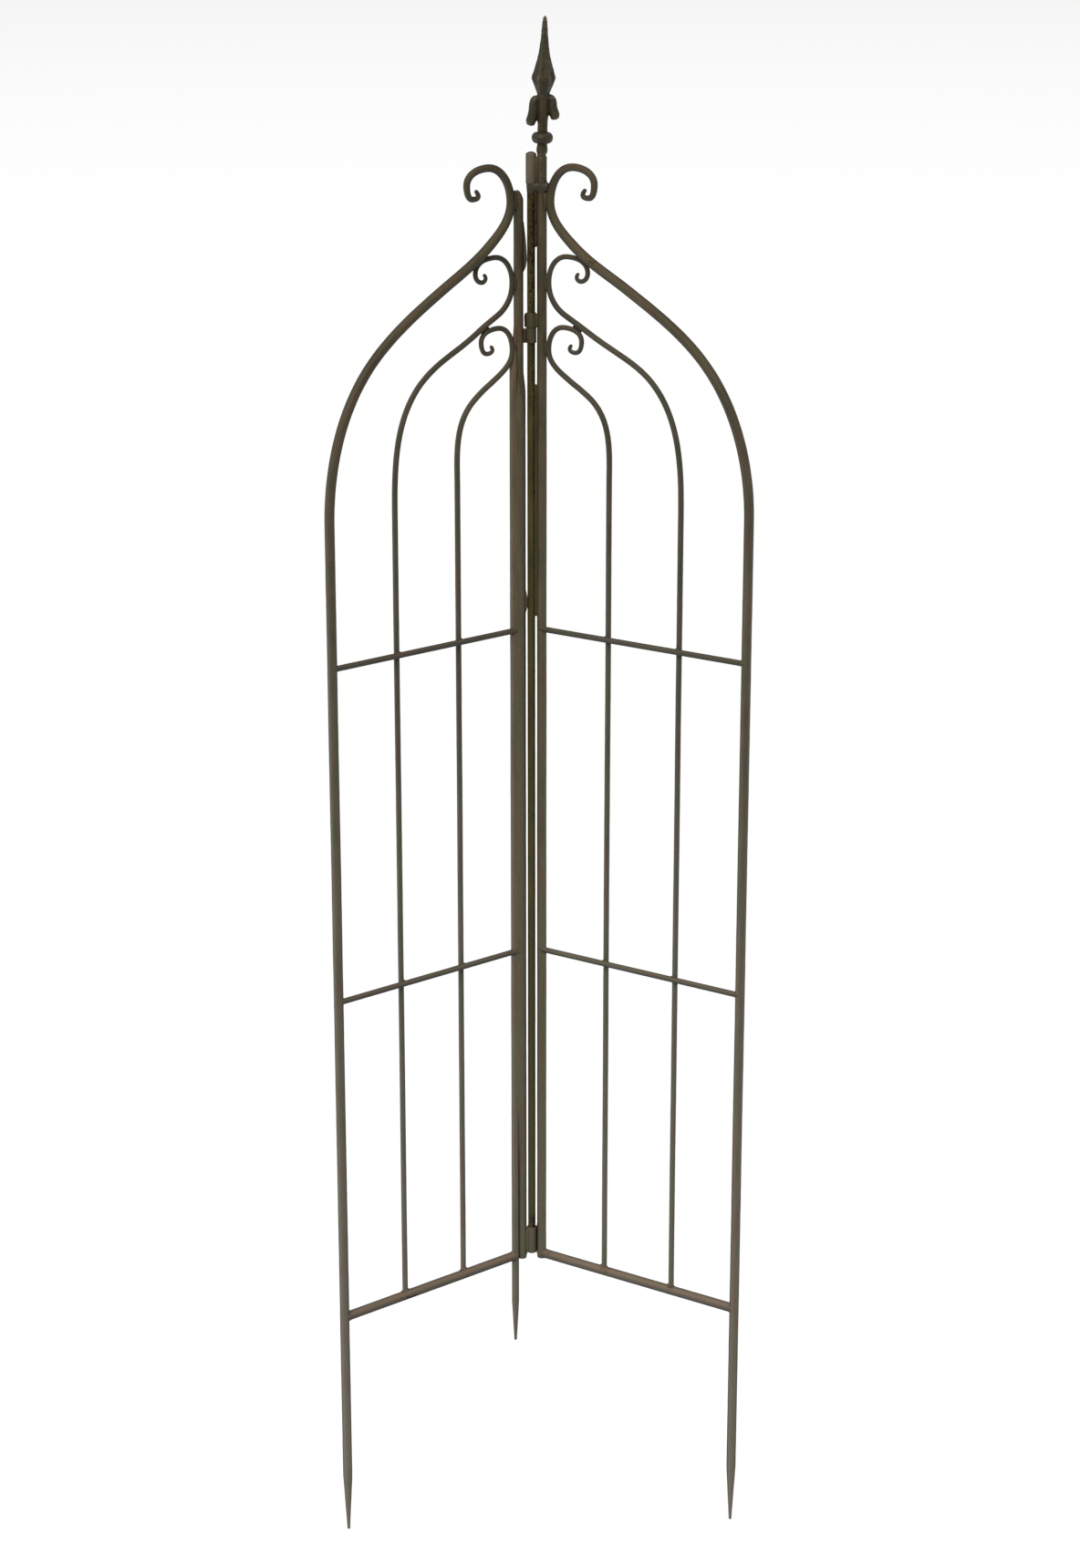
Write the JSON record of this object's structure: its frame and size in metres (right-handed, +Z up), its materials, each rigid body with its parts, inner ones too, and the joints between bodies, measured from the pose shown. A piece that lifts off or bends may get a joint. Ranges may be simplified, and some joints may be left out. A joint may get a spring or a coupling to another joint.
{
  "type": "folding garden trellis",
  "caption": "Hinged corner trellis of round bar with arched panels, scroll ends, ground spikes and a cast spear finial.",
  "frame": {"origin": "on the hinge axis at the soil line", "axes": "+Z up along the hinge pin; the two panels reach towards -Y, the left one towards -X and the right one towards +X, evenly about the YZ plane"},
  "size_m": [0.4091, 0.1586, 1.5317],
  "materials": {
    "dark_bar": "worn dark brown paint with fine rust mottling",
    "olive_bar": "worn olive brown paint",
    "worn_bar": "paint faded and worn to grey brown",
    "rusted_iron": "dark red brown rust",
    "cast_finial": "weathered casting, olive brown with rust in the hollows"
  },
  "bodies": {
    "left_panel": {"left_outer_bar": "dark_bar", "left_middle_bar": "dark_bar", "left_inner_bar": "dark_bar", "left_top_crossbar": "dark_bar", "left_middle_crossbar": "dark_bar", "left_bottom_crossbar": "worn_bar", "left_post": "olive_bar", "centre_leg": "dark_bar", "left_ring": "rusted_iron", "hinge_barrel": "worn_bar"},
    "right_panel": {"right_outer_bar": "dark_bar", "right_middle_bar": "dark_bar", "right_inner_bar": "dark_bar", "right_top_crossbar": "dark_bar", "right_middle_crossbar": "dark_bar", "right_bottom_crossbar": "worn_bar", "right_post": "olive_bar", "right_ring": "rusted_iron", "top_sleeve": "olive_bar", "hinge_pin": "rusted_iron", "finial": "cast_finial", "finial_collar": "cast_finial"}
  },
  "joints": [
    {"name": "panel_hinge", "type": "hinge", "parent": "left_panel", "child": "right_panel", "pos_m": [0, 0, 0], "axis": [0, 0, 1], "range_deg": [-104, 74]}
  ]
}
